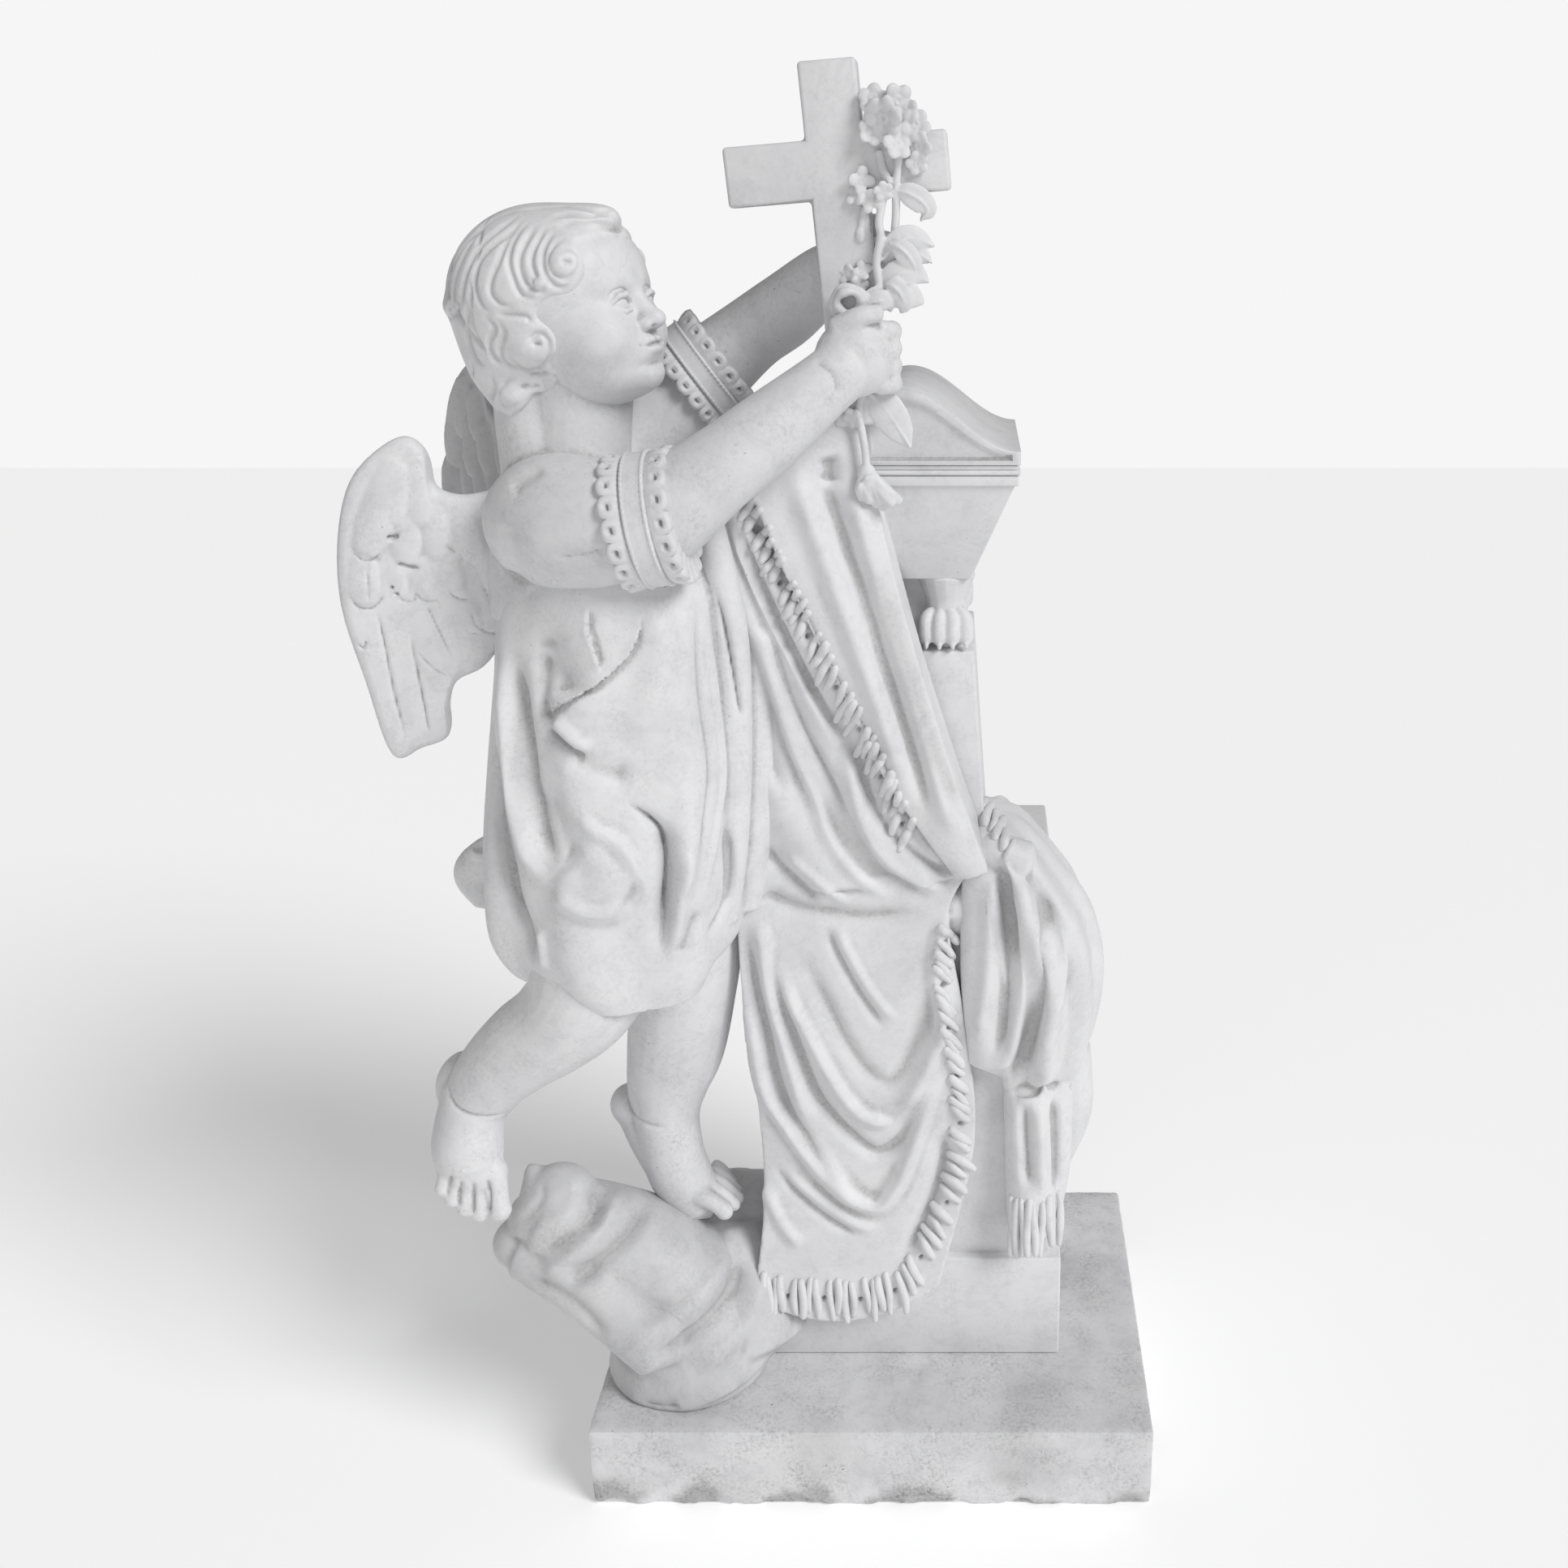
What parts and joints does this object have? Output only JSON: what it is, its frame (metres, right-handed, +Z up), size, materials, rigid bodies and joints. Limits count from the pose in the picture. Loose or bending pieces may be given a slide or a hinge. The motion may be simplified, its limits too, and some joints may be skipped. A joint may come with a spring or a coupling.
{
  "type": "marble angel statue",
  "caption": "Marble memorial statue of a winged child angel lifting a garlanded cross beside a tomb draped with a fringed pall, on a rectangular plinth",
  "frame": {"origin": "centre of the plinth's underside", "axes": "+X to the cross side along the plinth's long front, +Y away from the viewer, +Z up"},
  "size_m": [0.6908, 0.4241, 1.3077],
  "materials": {
    "marble": "honed white marble, grey dirt in the hollows",
    "plinth_marble": "weathered white marble, stained and speckled grey"
  },
  "bodies": {
    "root": {"angel_group": "marble", "plinth": "plinth_marble"}
  },
  "joints": []
}
